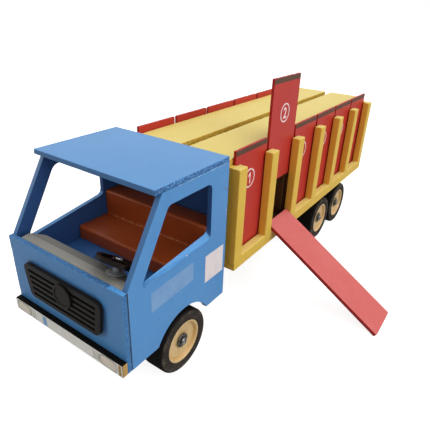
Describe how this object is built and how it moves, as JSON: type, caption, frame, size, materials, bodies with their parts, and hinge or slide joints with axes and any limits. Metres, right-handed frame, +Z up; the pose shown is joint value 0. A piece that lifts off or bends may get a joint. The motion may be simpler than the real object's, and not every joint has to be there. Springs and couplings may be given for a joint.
{
  "type": "toy livestock truck",
  "caption": "Wooden toy livestock truck with an open cab, a slatted two-sided load body with lift-up gates to each stall, a loading ramp and turned wheels in rubber tyres.",
  "frame": {"origin": "bottom centre of the box that holds the truck and its lowered ramp, on the floor", "axes": "+Z up, -Y towards the front of the truck, +X towards the truck's left side, where the ramp stands"},
  "size_m": [0.363, 0.698, 0.321],
  "materials": {
    "blue_paint": "semi-gloss enamel on board",
    "yellow_paint": "semi-gloss enamel on wood",
    "red_paint": "semi-gloss enamel on thin board",
    "brown_paint": "gloss enamel on wood",
    "grey_paint": "satin enamel on wood",
    "black_paint": "satin enamel on wood",
    "black_plastic": "moulded, satin",
    "varnished_wood": "turned and varnished",
    "tyre_rubber": "matt moulded rubber",
    "steel": "plain steel"
  },
  "bodies": {
    "truck": {"cab_side_left": "blue_paint", "cab_side_right": "blue_paint", "cab_front": "blue_paint", "cab_roof": "blue_paint", "cab_back": "blue_paint", "cab_floor": "blue_paint", "bumper": "black_paint", "grille": "black_plastic", "badge": "black_plastic", "steering_wheel": "black_plastic", "chassis_board": "black_paint", "cab_riser": "black_paint", "front_axle_block": "black_paint", "rear_axle_block": "black_paint", "bench_seat": "brown_paint", "dashboard": "grey_paint", "steering_column": "steel", "front_axle": "steel", "middle_axle": "steel", "rear_axle": "steel", "cargo_floor": "yellow_paint", "side_frame_left": "yellow_paint", "side_frame_right": "yellow_paint", "front_wall": "yellow_paint", "partition_1": "yellow_paint", "partition_2": "yellow_paint", "partition_3": "yellow_paint", "partition_4": "yellow_paint", "partition_5": "yellow_paint", "rear_wall": "yellow_paint", "roof_board_left": "yellow_paint", "roof_board_right": "yellow_paint"},
    "front_left_wheel": {"tyre_front_left": "tyre_rubber", "wheel_front_left": "varnished_wood"},
    "front_right_wheel": {"tyre_front_right": "tyre_rubber", "wheel_front_right": "varnished_wood"},
    "middle_left_wheel": {"tyre_middle_left": "tyre_rubber", "wheel_middle_left": "varnished_wood"},
    "middle_right_wheel": {"tyre_middle_right": "tyre_rubber", "wheel_middle_right": "varnished_wood"},
    "rear_left_wheel": {"tyre_rear_left": "tyre_rubber", "wheel_rear_left": "varnished_wood"},
    "rear_right_wheel": {"tyre_rear_right": "tyre_rubber", "wheel_rear_right": "varnished_wood"},
    "gate_left_1": {"gate_left_1": "red_paint"},
    "gate_left_2": {"gate_left_2": "red_paint"},
    "gate_left_3": {"gate_left_3": "red_paint"},
    "gate_left_4": {"gate_left_4": "red_paint"},
    "gate_left_5": {"gate_left_5": "red_paint"},
    "gate_left_6": {"gate_left_6": "red_paint"},
    "gate_right_1": {"gate_right_1": "red_paint"},
    "gate_right_2": {"gate_right_2": "red_paint"},
    "gate_right_3": {"gate_right_3": "red_paint"},
    "gate_right_4": {"gate_right_4": "red_paint"},
    "gate_right_5": {"gate_right_5": "red_paint"},
    "gate_right_6": {"gate_right_6": "red_paint"},
    "ramp": {"ramp": "red_paint"}
  },
  "joints": [
    {"name": "front_left_wheel_spin", "type": "hinge", "parent": "truck", "child": "front_left_wheel", "pos_m": [-0.01197, -0.252, 0.041], "axis": [1, 0, 0], "continuous": true},
    {"name": "front_right_wheel_spin", "type": "hinge", "parent": "truck", "child": "front_right_wheel", "pos_m": [-0.16197, -0.252, 0.041], "axis": [1, 0, 0], "continuous": true},
    {"name": "middle_left_wheel_spin", "type": "hinge", "parent": "truck", "child": "middle_left_wheel", "pos_m": [-0.01197, 0.1595, 0.041], "axis": [1, 0, 0], "continuous": true},
    {"name": "middle_right_wheel_spin", "type": "hinge", "parent": "truck", "child": "middle_right_wheel", "pos_m": [-0.16197, 0.1595, 0.041], "axis": [1, 0, 0], "continuous": true},
    {"name": "rear_left_wheel_spin", "type": "hinge", "parent": "truck", "child": "rear_left_wheel", "pos_m": [-0.01197, 0.2485, 0.041], "axis": [1, 0, 0], "continuous": true},
    {"name": "rear_right_wheel_spin", "type": "hinge", "parent": "truck", "child": "rear_right_wheel", "pos_m": [-0.16197, 0.2485, 0.041], "axis": [1, 0, 0], "continuous": true},
    {"name": "gate_left_1_lift", "type": "slide", "parent": "truck", "child": "gate_left_1", "axis": [0, 0, 1], "range_m": [0, 0.11]},
    {"name": "gate_left_2_lift", "type": "slide", "parent": "truck", "child": "gate_left_2", "axis": [0, 0, 1], "range_m": [-0.073, 0.037]},
    {"name": "gate_left_3_lift", "type": "slide", "parent": "truck", "child": "gate_left_3", "axis": [0, 0, 1], "range_m": [0, 0.11]},
    {"name": "gate_left_4_lift", "type": "slide", "parent": "truck", "child": "gate_left_4", "axis": [0, 0, 1], "range_m": [0, 0.11]},
    {"name": "gate_left_5_lift", "type": "slide", "parent": "truck", "child": "gate_left_5", "axis": [0, 0, 1], "range_m": [0, 0.11]},
    {"name": "gate_left_6_lift", "type": "slide", "parent": "truck", "child": "gate_left_6", "axis": [0, 0, 1], "range_m": [0, 0.11]},
    {"name": "gate_right_1_lift", "type": "slide", "parent": "truck", "child": "gate_right_1", "axis": [0, 0, 1], "range_m": [0, 0.11]},
    {"name": "gate_right_2_lift", "type": "slide", "parent": "truck", "child": "gate_right_2", "axis": [0, 0, 1], "range_m": [0, 0.11]},
    {"name": "gate_right_3_lift", "type": "slide", "parent": "truck", "child": "gate_right_3", "axis": [0, 0, 1], "range_m": [0, 0.11]},
    {"name": "gate_right_4_lift", "type": "slide", "parent": "truck", "child": "gate_right_4", "axis": [0, 0, 1], "range_m": [0, 0.11]},
    {"name": "gate_right_5_lift", "type": "slide", "parent": "truck", "child": "gate_right_5", "axis": [0, 0, 1], "range_m": [0, 0.11]},
    {"name": "gate_right_6_lift", "type": "slide", "parent": "truck", "child": "gate_right_6", "axis": [0, 0, 1], "range_m": [0, 0.11]},
    {"name": "ramp_lift", "type": "hinge", "parent": "truck", "child": "ramp", "pos_m": [0.00753, -0.0245, 0.1078], "axis": [0, -1, 0], "range_deg": [0, 32]}
  ]
}
